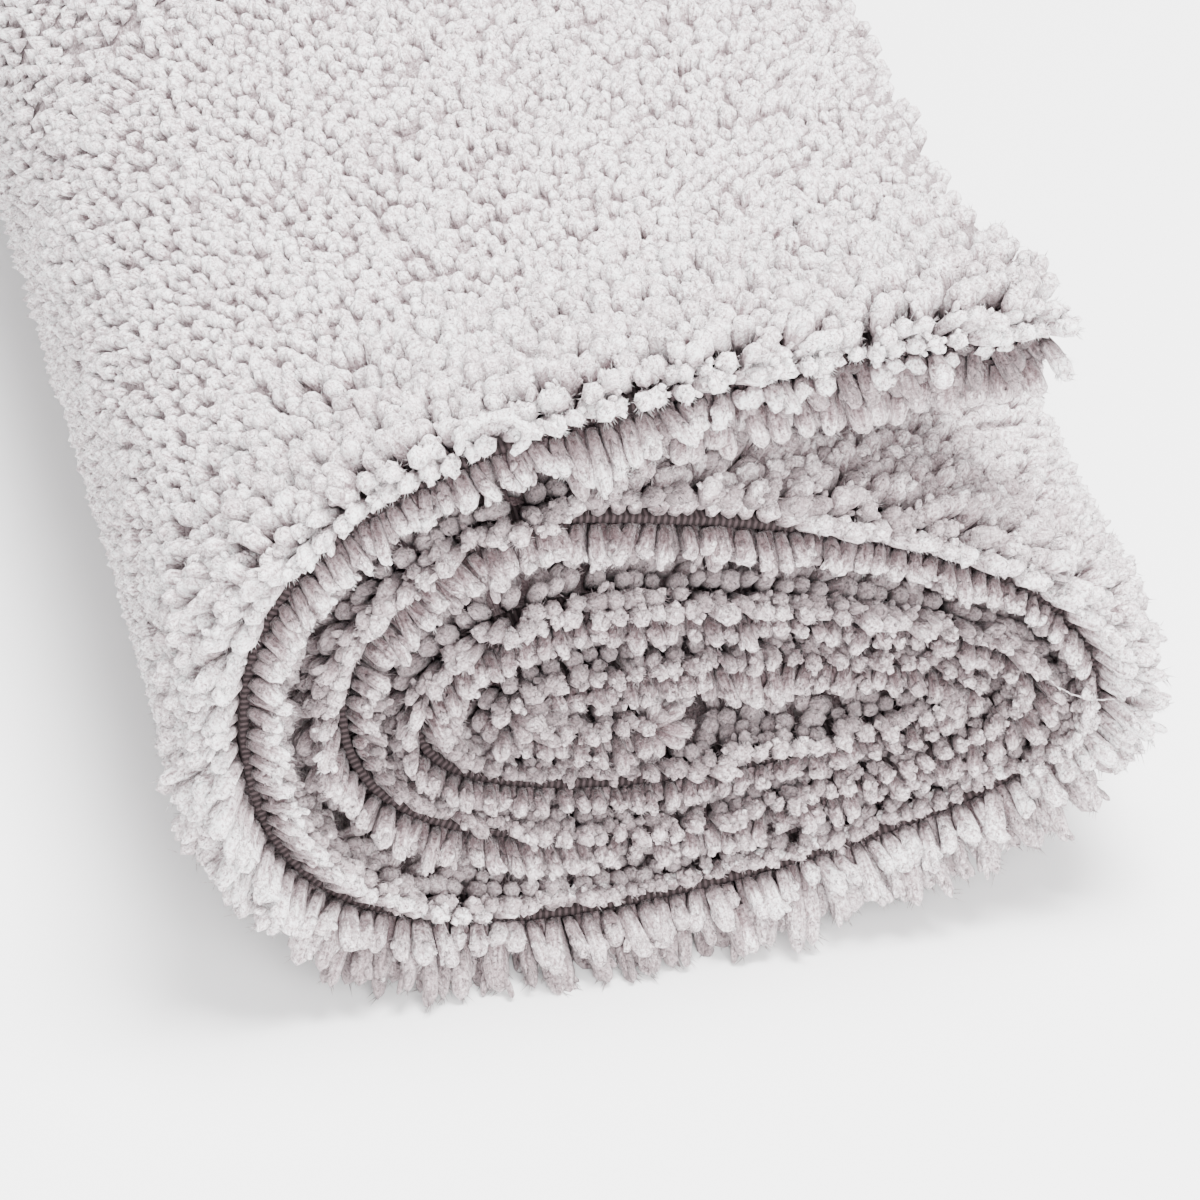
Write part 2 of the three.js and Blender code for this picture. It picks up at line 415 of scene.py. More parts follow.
def half_base(s, y):
    """Half the base's thickness, the same at all places."""
    return np.full_like(s, BASE_THICK / 2)


base_y = BASE_HALF - np.array([0, 6, 30, 60, 100, 148])
base_y = np.unique(np.r_[-base_y, base_y])
base, base_places = strip("knitted_base", half_base, half_base, base_y, 260)
print("base faces:", len(base.data.polygons))

# %% [markdown]
# A tuft is a little club of fibres: thin at its root, thickest near the tip and round on top. It
# is modelled once, ring by ring, and then set many thousand times. The copies are joined into a
# few meshes straight from arrays, because that many separate objects would make the file slow.


# %% One tuft, modelled ring by ring
def tuft_template(name, sides, rings, height, roughen=0.0, seed=0):
    """A closed club: rings are (height, radius) in its own units, on top comes a tip."""
    bpy.ops.object.select_all(action="DESELECT")
    bpy.ops.mesh.primitive_circle_add(vertices=sides, radius=rings[0][1],
                                      fill_type="NGON", location=(0, 0, rings[0][0]))
    made = bpy.context.object
    made.name = name
    bpy.ops.object.mode_set(mode="EDIT")
    bpy.ops.mesh.select_all(action="SELECT")
    bpy.ops.mesh.flip_normals()
    for (low, narrow), (high, wide) in zip(rings, rings[1:]):
        bpy.ops.mesh.extrude_region_move(TRANSFORM_OT_translate={"value": (0, 0, high - low)})
        grow = wide / narrow
        bpy.ops.transform.resize(value=(grow, grow, 1), center_override=(0, 0, high))
    bpy.ops.mesh.extrude_region_move(
        TRANSFORM_OT_translate={"value": (0, 0, height - rings[-1][0])})
    bpy.ops.mesh.merge(type="CENTER")
    bpy.ops.mesh.select_all(action="SELECT")
    if roughen:
        bpy.ops.transform.vertex_random(offset=roughen, uniform=1.0, normal=0.0, seed=seed)
    bpy.ops.mesh.normals_make_consistent(inside=False)
    bpy.ops.object.mode_set(mode="OBJECT")
    mesh = made.data
    co = np.array([v.co for v in mesh.vertices])
    co[:, :2] += made.location.xy
    co[:, 2] += made.location.z
    co /= (1, 1, height)
    # sorted, because the operators can leave the faces in another order each run
    polygons = sorted(tuple(p.vertices) for p in mesh.polygons)
    bpy.data.objects.remove(made)
    triangles = sum(len(p) - 2 for p in polygons)
    profile = np.array([(h / height, r) for h, r in rings] + [(1.0, 0.2)]).T
    print(name, "has", triangles, "triangles")
    return {"co": co, "polygons": polygons, "triangles": triangles, "profile": profile}


TUFT_HEIGHT = 5.6      # in tuft radii
bead_tuft = tuft_template("bead tuft", 7, [(1.4, 0.72), (3.5, 1.0), (4.7, 0.90), (5.3, 0.55)],
                          TUFT_HEIGHT, 0.10, 1)
near_tuft = tuft_template("near tuft", 5, [(2.2, 0.80), (4.8, 0.95)], TUFT_HEIGHT, 0.10, 2)
far_tuft = tuft_template("far tuft", 5, [(1.6, 1.0)], TUFT_HEIGHT)
end_tuft = tuft_template("end tuft", 6, [(0.0, 0.62), (1.2, 0.80), (3.9, 0.97), (5.15, 0.66)],
                         TUFT_HEIGHT, 0.08, 10)
back_tuft = tuft_template("back row tuft", 5, [(0.0, 0.55), (3.0, 0.95), (5.0, 0.80)],
                          TUFT_HEIGHT, 0.10, 21)
lobe = tuft_template("lobe", 4, [(0.0, 0.55), (3.5, 1.0), (5.1, 0.74)], TUFT_HEIGHT)
fibre = tuft_template("fibre", 3, [(0.0, 1.0)], 1.0)


# %% Setting a tuft many times as one mesh
ON_AXIS = 0.08         # a point nearer a tuft's axis than this has no turn of its own


def square_to(axis):
    """Two directions square to each axis and to each other."""
    helper = np.where(np.abs(axis[..., 1:2]) < 0.9, [0.0, 1.0, 0.0], [1.0, 0.0, 0.0])
    side = np.cross(axis, helper)
    side /= np.linalg.norm(side, axis=-1)[..., None]
    return side, np.cross(axis, side)


def set_attribute(mesh, label, values):
    """One number a point, which a material reads by its label."""
    attribute = mesh.attributes.new(label, "FLOAT", "POINT")
    attribute.data.foreach_set("value", values.astype(np.float32))


def template_uv(template):
    """UV of each corner: round the tuft and along it, without a wrap inside a face."""
    uv = []
    for polygon in template["polygons"]:
        corners = template["co"][list(polygon)]
        turn = np.arctan2(corners[:, 1], corners[:, 0]) / (2 * math.pi)
        on_axis = np.hypot(corners[:, 0], corners[:, 1]) < ON_AXIS
        seen = turn[~on_axis]
        if len(seen) and seen.max() - seen.min() > 0.5:
            turn = np.where(turn < 0, turn + 1, turn)
        if on_axis.any() and len(seen):
            turn[on_axis] = turn[~on_axis].mean()
        uv.append(np.c_[turn + 1, corners[:, 2]])
    return np.vstack(uv)


def plant(name, template, root, axis, length, radius, bend, tone, tip=(0.0, 1.0), rise=1.0):
    """Copies of a tuft joined into one object. Sizes in millimetres.

    tip is how bright the fibre is at the root and at the tip, darker at the root as painted shade,
    and rise how late it brightens on the way: each a number, or one value a tuft.
    """
    count, co = len(root), template["co"]
    turn = rng.uniform(0, 2 * math.pi, count)
    side, third = square_to(axis)
    first =side * np.cos(turn)[:, None] + third * np.sin(turn)[:, None]
    second = np.cross(axis, first)
    up = co[:, 2][None, :, None]
    points = (root[:, None]
              + axis[:, None] * length[:, None, None] * up
              + first[:, None] * radius[:, None, None] * co[:, 0][None, :, None]
              + second[:, None] * radius[:, None, None] * co[:, 1][None, :, None]
              + bend[:, None] * up ** 2)
    points[..., 2] = np.maximum(points[..., 2], 0)
    polygons = template["polygons"]
    corners = np.concatenate([np.array(p) for p in polygons])
    totals = np.array([len(p) for p in polygons])
    loops = (corners[None] + (np.arange(count) * len(co))[:, None]).ravel()
    starts = np.r_[0, np.cumsum(np.tile(totals, count))[:-1]]
    mesh = bpy.data.meshes.new(name)
    mesh.vertices.add(count * len(co))
    mesh.vertices.foreach_set("co", (points.reshape(-1, 3) * MM).ravel().astype(np.float32))
    mesh.loops.add(len(loops))
    mesh.loops.foreach_set("vertex_index", loops.astype(np.int32))
    mesh.polygons.add(len(starts))
    mesh.polygons.foreach_set("loop_start", starts.astype(np.int32))
    mesh.polygons.foreach_set("use_smooth", np.ones(len(starts), bool))
    uv = mesh.uv_layers.new(name="tuft")
    corner_uv = np.tile(template_uv(template), (count, 1))
    uv.data.foreach_set("uv", corner_uv.ravel().astype(np.float32))
    low, high, late = (np.broadcast_to(v, count)[:, None] for v in (*tip, rise))
    tips = low + (high - low) * co[:, 2].clip(0, 1)[None] ** late
    set_attribute(mesh, "tip", tips.ravel())
    set_attribute(mesh, "tone", np.repeat(tone, len(co)))
    mesh.update(calc_edges=True)
    mesh.validate()
    mesh.materials.append(pile_material)
    made = bpy.data.objects.new(name, mesh)
    bpy.context.scene.collection.objects.link(made)
    print(name, count, "tufts,", count * template["triangles"], "triangles")
    return made


# %% [markdown]
# Close to, a tuft is no smooth club: its fibres gather in blunt lobes, and
# single ones stand out of its head. A bump in the material would leave the
# tuft's outline smooth. So strands are set round the tufts that are seen close
# to, modelled and joined as the tufts are, each as bright as its tuft is there.

# %% Lobes and fine fibres that stand out of the tufts
TURN_STEP = 0.381966   # share of a turn that spreads strands evenly round a tuft
REACH_STEP = 0.618     # share of their range that spreads them evenly along it
OWN_TONE = 0.14        # how far a strand's tone can be from its tuft's


def strands_on(name, strand, host, tufts, per_tuft, length, thickness, where, fan_out, sunk):
    """Strands set round each tuft, each as bright as the tuft is there.

    where and fan_out are ranges, length is a share of the tuft's and sunk how
    far out of its axis a strand starts.
    """
    count = len(tufts["root"])
    order = np.arange(per_tuft)[None] + rng.uniform(0, 100, (count, 1))
    spread = (order * REACH_STEP + rng.uniform(0, 0.15, (count, per_tuft))) % 1
    reach = where[0] + (where[1] - where[0]) * spread
    turn = 2 * math.pi * (order * TURN_STEP + rng.normal(0, 0.05, (count, per_tuft)))
    axis = tufts["axis"][:, None]
    side, third = square_to(axis)
    radial = side * np.cos(turn)[..., None] + third * np.sin(turn)[..., None]
    thick = np.interp(reach, *host["profile"]) * tufts["radius"][:, None]
    start = (tufts["root"][:, None] + axis * (tufts["length"][:, None] * reach)[..., None]
             + tufts["bend"][:, None] * (reach ** 2)[..., None]
             + radial * (sunk * thick)[..., None])
    way = axis + radial * rng.uniform(*fan_out, reach.shape)[..., None]
    way += rng.normal(0, 0.10, way.shape)
    way /= np.linalg.norm(way, axis=2)[..., None]
    total = count * per_tuft
    size = np.repeat(length * tufts["length"], per_tuft) * rng.uniform(0.75, 1.2, total)
    own_tone = np.repeat(tufts["tone"], per_tuft) + rng.uniform(-OWN_TONE, OWN_TONE, total)
    # the strands carry the tuft's painted shade, darker towards its root
    rise = np.broadcast_to(tufts.get("rise", 1.0), count)[:, None]
    bright = ((reach ** rise).ravel(), (((reach + length).clip(0, 1)) ** rise).ravel())
    return plant(name, strand, start.reshape(total, 3), way.reshape(total, 3), size,
                 thickness * rng.uniform(0.75, 1.25, total),
                 size[:, None] * rng.normal(0, 0.12, (total, 3)), own_tone, tip=bright)


def lobes_on(name, host, tufts, per_tuft):
    """Blunt lobes that make a tuft's head uneven."""
    return strands_on(name, lobe, host, tufts, per_tuft, length=0.32, thickness=0.31,
                      where=(0.30, 0.74), fan_out=(0.0, 0.26), sunk=0.62)


def fibres_on(name, host, tufts, per_tuft):
    """Fine fibres that stand out of a tuft's head."""
    return strands_on(name, fibre, host, tufts, per_tuft, length=0.13, thickness=0.04,
                      where=(0.45, 1.0), fan_out=(0.5, 1.4), sunk=0.85)


# %% [markdown]
# On the roll's outside the tufts stand in loose chains that run aslant, with
# short dark cracks between them. Their places are a slanted grid, pushed about
# by smooth noise, and each tuft leans with its neighbours. Near the end that
# the photo shows they stand closer and have more faces; towards the far end
# the spacing widens. Right at the near end they are looser beads, and they
# fan out over the edge. Where the roll lies on the floor, only one in three is
# kept, because none is seen there.

# %% Places of the outer tufts
CHAIN_SLANT = math.radians(38)     # between the chains and the cut edge
CRACKS = 0.6                       # how far chains are pushed apart
ON_FLOOR = -0.75                   # the outer face points down at least this much
FLOOR_KEEPS = 3                    # and one tuft in so many is kept there


def outer_places(y_from, y_to, s_to, in_chain, between, jitter=0.10):
    """Places on one face in slanted chains; the pitches are (at y_from, at y_to)."""
    s_all, y_all, y, shift = [], [], y_from, 0.0
    while y < y_to:
        share = (y - y_from) / (y_to - y_from)
        pitch = in_chain[0] + (in_chain[1] - in_chain[0]) * share
        step = (between[0] + (between[1] - between[0]) * share) / math.sin(CHAIN_SLANT)
        shift = (shift - pitch * math.cos(CHAIN_SLANT)) % step
        s = np.arange(0.2 + loose_start(y) + shift, s_to, step)
        s_all.append(s)
        y_all.append(np.full(len(s), y))
        y += pitch * math.sin(CHAIN_SLANT)
    s, y = np.concatenate(s_all), np.concatenate(y_all)
    along_chain = y * math.sin(CHAIN_SLANT) - s * math.cos(CHAIN_SLANT)
    across_chain = y * math.cos(CHAIN_SLANT) + s * math.sin(CHAIN_SLANT)
    part = CRACKS * soft_noise(along_chain / 4.6, across_chain / 1.7, 0)
    s = (s + part * math.sin(CHAIN_SLANT) + 0.3 * soft_noise(s / 3.1, y / 3.7, 1)
         + rng.normal(0, jitter, len(s)))
    y = y + part * math.cos(CHAIN_SLANT) + rng.normal(0, jitter, len(y))
    on_floor = at(fine_out[:, 1], s) < ON_FLOOR
    kept = ~on_floor | (np.arange(len(s)) % FLOOR_KEEPS == 0)
    return np.clip(s, loose_start(y), LENGTH)[kept], np.clip(y, -BASE_HALF, BASE_HALF)[kept]


def directions(s, side):
    """The way out of the cloth and the way along its winding, at places s."""
    zero = np.zeros_like(s)
    out = np.stack([at(fine_out[:, 0], s), zero, at(fine_out[:, 1], s)], -1) * side
    along = np.stack([at(fine_dir[:, 0], s), zero, at(fine_dir[:, 1], s)], -1)
    return out, along


ACROSS = np.array([0.0, 1.0, 0.0])
FAN_DEPTH = 3.2        # tufts this near a cut edge fan out over it
FANNED_SHORTER = 0.18  # and those round the loose end are shorter


def fan(distance):
    """How much a tuft leans over a cut edge, by its distance from it."""
    return np.clip(1 - distance / FAN_DEPTH, 0, 1)


LOOSE_DEPTH = 13.0     # the pile is looser this near an end
FLAP_SHADE = 0.42      # painted shade: how much darker the pile is painted in the gap under the loose end
GAP_OUTSIDE = (150, 190)           # where the outer face lies in that gap
GAP_INSIDE = 34                    # and up to where the inner face does


def flap_shade_mask(s, side):
    """Where painted shade falls in the gap under the loose end: one there, on both faces, and
    nought elsewhere.
    """
    deep = np.clip((s - GAP_OUTSIDE[0]) / 12, 0, 1) * np.clip((GAP_OUTSIDE[1] - s) / 6, 0, 1)
    return np.where(side > 0, deep, np.clip((GAP_INSIDE - s) / 6, 0, 1))


def outer_tufts(s, y, side, radius, rooted=0.25):
    """Tufts on one face of the cloth, leaning with their neighbours."""
    height = at(room[int(side)], s)
    from_end = BASE_HALF - np.abs(y)
    loose = np.clip(1 - from_end / LOOSE_DEPTH, 0, 1)
    root = on_cloth(s, y, side * rooted * height)
    out, along = directions(s, side)
    together = 0.22 + 0.2 * loose
    lean_s = together * soft_noise(s / 3.4, y / 4.2, 2) + rng.normal(0, 0.08, len(s))
    lean_y = together * soft_noise(s / 3.4, y / 3.6, 3) + rng.normal(0, 0.08, len(s))
    lean_s = lean_s - 0.5 * fan(s - loose_start(y))
    lean_y = lean_y + np.sign(y) * 0.6 * fan(from_end)
    axis = out + along * lean_s[:, None] + ACROSS * lean_y[:, None]
    axis /= np.linalg.norm(axis, axis=1)[:, None]
    uneven = (0.04 * rng.normal(0, 1, len(s)).clip(-2, 2) * (1 + loose)
              + 0.06 * (1 + loose) * soft_noise(s / 2.5, y / 2.5, 4))
    bend = (along * rng.normal(0, 0.2, len(s))[:, None]
            + ACROSS * rng.normal(0, 0.2, len(s))[:, None]) * (1 - rooted)
    length = height * (1 - rooted + uneven) * (1 - FANNED_SHORTER * fan(s - loose_start(y)))
    # the tone varies at random, and is painted darker as shade in the gap under the loose end
    return {"root": root, "axis": axis, "length": length, "bend": bend,
            "radius": radius * (1 + 0.12 * loose) * rng.uniform(0.82, 1.18, len(s)),
            "tone": 0.85 + 0.15 * rng.uniform(-1, 1, len(s)) - FLAP_SHADE * flap_shade_mask(s, side)}


def some(tufts, pick):
    """The picked tufts of a set."""
    return {key: values[pick] for key, values in tufts.items()}


# %% The outer tufts
BEADS_DEPTH = 11.0     # from the near end: loose beads, then closer tufts
LOBES_DEPTH = 5.5      # the first of the beads have lobes too
NEAR_DEPTH = {"top": 64.0, "low": 52.0}    # the top shows further back than the sides
SHOWN_INSIDE = 26.0    # how far in the loose end's inner face can be seen
TOP_HALF = 84.0        # the outer face is the roll's top from the loose end to here
EDGE_GAP = 0.3         # the outermost tufts stand this far from a cut edge
first, last = -BASE_HALF + BEADS_DEPTH, BASE_HALF - EDGE_GAP
s, y = outer_places(-BASE_HALF + EDGE_GAP, first, OPEN_UNTIL, (0.84, 0.78), (1.85, 1.15))
tufts = outer_tufts(s, y, 1.0, 0.68)
at_edge = some(tufts, y < -BASE_HALF + LOBES_DEPTH)
pieces = [plant("pile_outside_beads", bead_tuft, **tufts),
          lobes_on("lobes_outside", bead_tuft, at_edge, 4),
          fibres_on("fibres_outside", bead_tuft, tufts, 12)]
near = {part: -BASE_HALF + depth for part, depth in NEAR_DEPTH.items()}
s, y = outer_places(first, near["top"], TOP_HALF, (0.74, 0.78), (1.02, 1.02))
pieces += [plant("pile_outside_near_top", near_tuft, **outer_tufts(s, y, 1.0, 0.55))]
s, y = outer_places(first, near["low"], OPEN_UNTIL, (0.90, 1.0), (1.10, 1.2))
tufts = outer_tufts(s, y, 1.0, 0.62)
pieces += [plant("pile_outside_near_low", near_tuft, **some(tufts, s >= TOP_HALF))]
s, y = outer_places(near["low"], last, OPEN_UNTIL, (1.15, 2.1), (1.4, 2.1), jitter=0.25)
tufts = outer_tufts(s, y, 1.0, 0.85, rooted=0.70)
far_top = some(tufts, (s < TOP_HALF) & (y > near["top"]))
pieces += [plant("pile_outside_far_top", far_tuft, **far_top, tip=(0.68, 1.0)),
           plant("pile_outside_far_low", far_tuft, **some(tufts, s >= TOP_HALF), tip=(0.68, 1.0))]
s, y = outer_places(-BASE_HALF + EDGE_GAP, first, SHOWN_INSIDE, (1.0, 1.1), (1.1, 1.2))
tufts = outer_tufts(s, y, -1.0, 0.72)
pieces += [plant("pile_under_near_corner", bead_tuft, **tufts),
           fibres_on("fibres_under_near_corner", bead_tuft, tufts, 14)]
s, y = outer_places(first, last, SHOWN_INSIDE, (1.3, 2.1), (1.5, 2.3))
pieces += [plant("pile_under_loose_end", near_tuft, **outer_tufts(s, y, -1.0, 0.85))]

# %% [markdown]
# On the ends the tufts fan out round the cut edge. They are rooted on the base
# in a few rows: the first, right at the edge, is shorter and leans out most,
# and each row behind it stands up a little more, so that the tips show one
# above the other. Where the turns press on each other the tufts lean out of
# the roll instead, and only their tips show, as rows of beads.

# %% Tufts on the two ends
TIGHT_ROOM, OPEN_ROOM = 1.8, 4.9   # millimetres between which pile goes from tight to open
# for each row: how much of the room its tips take, how upright it stands, and its tone, which
# paints the rows behind and the tight places darker as shade
TIGHT = {"share": [0.52, 0.60, 0.80, 0.90, 1.0], "upright": [0.32, 0.36, 0.50, 0.6, 0.7],
         "tone": [0.82, 0.26, 0.20, 0.20, 0.22]}
OPEN_INSIDE = {"share": [0.72, 0.97, 1.0, 1.0, 1.0], "upright": [0.92, 0.95, 0.98, 1.0, 1.0],
               "tone": [1.0, 0.45, 0.30, 0.28, 0.28]}
OPEN_OUTSIDE = {"share": [0.42, 0.68, 0.92, 1.0, 1.0], "upright": [0.54, 0.70, 0.92, 1.0, 1.0],
                "tone": [1.0, 0.88, 0.80, 0.7, 0.6]}
NEAR_FLOOR = {"share": [0.24, 0.78, 1.0, 1.0, 1.0], "upright": [0.38, 0.62, 0.82, 1.0, 1.0],
              "tone": [0.84, 0.48, 0.40, 0.35, 0.35]}
UNDER_LOOSE_END = {"share": [0.08, 0.26, 0.62, 1.0, 1.0], "upright": [0.20, 0.48, 0.78, 0.95, 1.0],
                   "tone": [1.0, 0.45, 0.30, 0.30, 0.30]}
HANGING_SHORTER = 0.30 # tufts that hang from above into the roll are this much shorter
LONGEST = 5.7          # no tuft on an end is longer, before its own unevenness
DARKEST_TONE = 0.10    # and none darker
ROOT_CLEAR = 0.08      # the first tufts leave this much of the cloth free beside its edge
LINE_CLEAR = 0.40      # and this much more where its dark line is open, on the face
LINE_OPEN = [(26, 88, 1), (-9, 36, -1)]
LEANS_OUT_UNTIL = 34.0 # the loose end's inner face has its tufts lean out of the roll
INNER_SHADE = -0.38     # painted shade: the inner turns are painted darker than the outer one
INNER_FROM = 140.0     # from here along the winding
LOOSE_PART = 20        # up to here the rows move in with the base's loose end
PARTED_UPRIGHT = 0.95
LOW_CORNER = (82, 114, 1)          # the low left corner of the outer face is painted darker too, as shade
LOW_CORNER_SHADE = -0.28

# along the winding, and on which face, the first tufts stand clear of the base's edge
PARTED = [(94, 134, -1), (170, 188, 1), (208, 228, -1), (315, 337, -1)]


def parted(s, side, stretches=PARTED):
    """One on the given stretches of a face, where tufts stand clear of the base's edge."""
    inside = [np.clip((s - a) / 3, 0, 1) * np.clip((b - s) / 3, 0, 1) * (side == face)
              for a, b, face in stretches]
    return np.max(inside, axis=0)


def end_row(end, row, side, pitch, row_step):
    """Places of one row of tufts on a face near an end of the roll."""
    s = np.arange(0.3 + 0.5 * pitch * (row % 2), LENGTH - 0.3, pitch)
    s = s + rng.normal(0, 0.15, len(s))
    inward = 0.1 + row_step * row + rng.normal(0, 0.13, len(s)).clip(-0.1, 0.3)
    y = end * (BASE_HALF - inward)
    s = s + loose_start(y) * (s < LOOSE_PART)
    return s, y, np.full(len(s), side), np.full(len(s), row)


def end_tufts_at(end, rows, pitch, row_step, radius):
    """The tufts of some rows at one end of the roll."""
    parts = [end_row(end, row, side, pitch, row_step) for row in rows for side in (1.0, -1.0)]
    s, y, side, row = (np.concatenate([p[k] for p in parts]) for k in range(4))
    height = np.where(side > 0, at(room[1], s), at(room[-1], s))
    out, along = directions(s, 1.0)
    out = out * side[:, None]
    free = np.clip((height - TIGHT_ROOM) / (OPEN_ROOM - TIGHT_ROOM), 0, 1)
    low = np.clip((-out[:, 2] - 0.5) / 0.3, 0, 1) * (s < OPEN_UNTIL)
    flap = np.clip((LEANS_OUT_UNTIL - s) / 8, 0, 1)

    def of_row(key):
        tight, inside, outside, floor, under = (
            np.array(table[key])[row] for table in
            (TIGHT, OPEN_INSIDE, OPEN_OUTSIDE, NEAR_FLOOR, UNDER_LOOSE_END))
        open_value = np.where(side > 0, outside + (floor - outside) * low,
                              inside + (under - inside) * flap)
        return tight + (open_value - tight) * free

    apart = parted(s, side) * (row == 0)
    up = of_row("upright") + (PARTED_UPRIGHT - of_row("upright")) * apart
    up = np.clip(up + rng.normal(0, 0.04, len(s)), 0.05, 0.99)
    share = of_row("share") + rng.normal(0, 0.04, len(s)) + 0.07 * soft_noise(s / 3.0, row, 7)
    full = np.minimum(height * share / up, LONGEST)
    hanging = np.clip(-out[:, 2], 0, 1) * ((side < 0) | (s > OPEN_UNTIL)) * (s > LEANS_OUT_UNTIL)
    full = full * (1 - HANGING_SHORTER * hanging) * (1 - FANNED_SHORTER * fan(s - loose_start(y)))
    full = full * (1 + 0.06 * rng.normal(0, 1, len(s)).clip(-2, 2)
                   + 0.11 * soft_noise(s / 2.2, row + 9 * side, 6))
    out_of_roll = np.sqrt(1 - up ** 2)
    sway = (0.30 * soft_noise(s / 4.0, row * 0.6 + 7 * side, 5)
            + 0.20 * soft_noise(s / 1.7, row * 0.6 + 5 * side, 8) + rng.normal(0, 0.10, len(s)))
    sway = sway * (0.6 + 0.4 * free) - 0.4 * fan(s - loose_start(y)) + 0.8 * fan(LENGTH - s)
    axis = (out * up[:, None] + along * sway[:, None] + ACROSS * (end * out_of_roll)[:, None])
    axis /= np.linalg.norm(axis, axis=1)[:, None]
    # painted shade: the inner turns, the gap under the loose end and the low left corner of the
    # outer face are painted darker
    inward = np.clip((s - INNER_FROM) / 40, 0, 1) + 0.3 * np.clip((s - 200) / 200, 0, 1)
    shaded = INNER_SHADE * inward - FLAP_SHADE * flap_shade_mask(s, side) * np.where(row == 0, 0.2, 1.0)
    shaded = shaded + LOW_CORNER_SHADE * parted(s, side, [LOW_CORNER])
    clear = (ROOT_CLEAR + 0.2 * np.maximum(parted(s, 1), parted(s, -1))
             + LINE_CLEAR * parted(s, side, LINE_OPEN))
    return {"root": on_cloth(s, y, side * (BASE_THICK / 2 + clear)), "axis": axis,
            "length": full,
            "radius": radius * rng.uniform(0.80, 1.20, len(s)) * (0.86 + 0.24 * free),
            "bend": along * rng.normal(0, 0.30, len(s))[:, None] + (0.0, 0.0, -0.25),
            "tone": np.maximum(of_row("tone") + shaded, DARKEST_TONE)
                    + rng.uniform(-0.10, 0.10, len(s)),
            "rise": 1.45 - (0.85 + 0.25 * (side > 0)) * free}


for row, label, lobes, fibres in ((0, "first", 4, 34), (1, "second", 3, 22)):
    front = end_tufts_at(-1, (row,), 1.28, 1.15, 0.68)
    pieces += [plant(f"pile_near_end_{label}_row", end_tuft, **front),
               lobes_on(f"lobes_near_end_{label}_row", end_tuft, front, lobes),
               fibres_on(f"fibres_near_end_{label}_row", end_tuft, front, fibres)]
front = end_tufts_at(-1, (2,), 1.2, 1.15, 0.70)
pieces += [plant("pile_near_end_third_row", bead_tuft, **front),
           fibres_on("fibres_near_end_third_row", bead_tuft, front, 14)]
behind = end_tufts_at(-1, (3, 4), 1.2, 1.15, 0.74)
pieces += [plant("pile_near_end_behind", back_tuft, **behind),
           fibres_on("fibres_near_end_behind", back_tuft, behind, 5)]
pieces.append(plant("pile_far_end", near_tuft, **end_tufts_at(1, (0, 1, 2), 1.6, 1.3, 0.85)))

# %% [markdown]
# The cloth's inner edge ends in the heart of the roll. Its tufts turn round it
# and fill the small gap there. They are a fan of five round the edge, set
# again and again from the near end inwards, as far as anything can be seen.

# %% Tufts along the cloth's inner edge, which fill the heart of the roll
y, turn = (grid.ravel() for grid in np.meshgrid(-BASE_HALF + 0.2 + 1.25 * np.arange(8),
                                                np.radians([-70, -35, 0, 35, 70])))
s = np.full(len(y), LENGTH - 0.3)
turn = turn + rng.normal(0, 0.12, len(y))
out, along = directions(s, 1.0)
heart_axis = along * np.cos(turn)[:, None] + out * np.sin(turn)[:, None] - 0.35 * ACROSS
heart_axis /= np.linalg.norm(heart_axis, axis=1)[:, None]
# painted shade: deep in the heart of the roll its tufts get a low tone
heart = {"root": on_cloth(s, y, np.zeros(len(s))), "axis": heart_axis,
         "length": rng.uniform(2.4, 3.3, len(s)), "radius": rng.uniform(0.55, 0.70, len(s)),
         "bend": rng.normal(0, 0.2, (len(s), 3)), "tone": rng.uniform(0.3, 0.5, len(s))}
pieces += [plant("pile_heart", end_tuft, **heart), fibres_on("fibres_heart", end_tuft, heart, 20)]

# %% [markdown]
# Two small flaws make the cloth real: a loop of yarn that is pulled out of the
# pile over the near edge, and one loose fibre on the right. A bevelled curve
# would be a smooth wire. Lobes set one after another along the same path are
# uneven like a yarn, and they take the pile's material as they are.


# %% The pulled loop and the loose fibre
def yarn_along(name, strand, path, step, length, radius, tone):
    """Strands set one after another along a path of points, in millimetres."""
    path = np.array(path)
    gone = np.r_[0, np.cumsum(np.linalg.norm(np.diff(path, axis=0), axis=1))]
    here = np.arange(0, gone[-1], step)
    place, ahead = (np.stack([np.interp(g, gone, path[:, k]) for k in range(3)], -1)
                    for g in (here, here + step))
    axis = ahead - place + rng.normal(0, 0.08 * step, place.shape)
    axis[-1] = axis[-2]
    axis /= np.linalg.norm(axis, axis=1)[:, None]
    count = len(place)
    return plant(name, strand, place, axis, np.full(count, length),
                 radius * rng.uniform(0.85, 1.15, count), np.zeros((count, 3)),
                 np.full(count, tone), tip=(0.8, 1.0))


EDGE_Y = -151.6        # where the tufts of the near end reach to
LOOP = [(-15.6, 45.2), (-15.5, 46.3), (-14.9, 47.2), (-13.9, 47.7), (-12.8, 47.7), (-11.9, 47.3),
        (-11.2, 46.6), (-11.1, 45.8), (-11.6, 45.1)]
LOOSE_FIBRE = [(24.6, 21.8), (25.1, 20.9), (25.8, 20.1), (26.7, 19.4), (27.6, 18.9), (28.5, 18.6),
               (29.3, 18.5)]
pieces += [yarn_along("pulled_loop", lobe, [(x, EDGE_Y, z) for x, z in LOOP],
                      0.22, 0.8, 0.40, 0.95),
           yarn_along("loose_fibre", lobe, [(x, EDGE_Y, z) for x, z in LOOSE_FIBRE],
                      0.35, 0.7, 0.05, 0.8)]
print("triangles in all:", sum(sum(len(p.vertices) - 2 for p in o.data.polygons)
                               for o in pieces + [ground, base]))

# %% [markdown]
# The ground and the base need maps too. Each of their points knows its place
# along and across the cloth, so the map is that place, and nothing has to be
# unwrapped: in widths of a tuft on the ground, so that its grain is like the
# tufts', and in millimetres on the base.


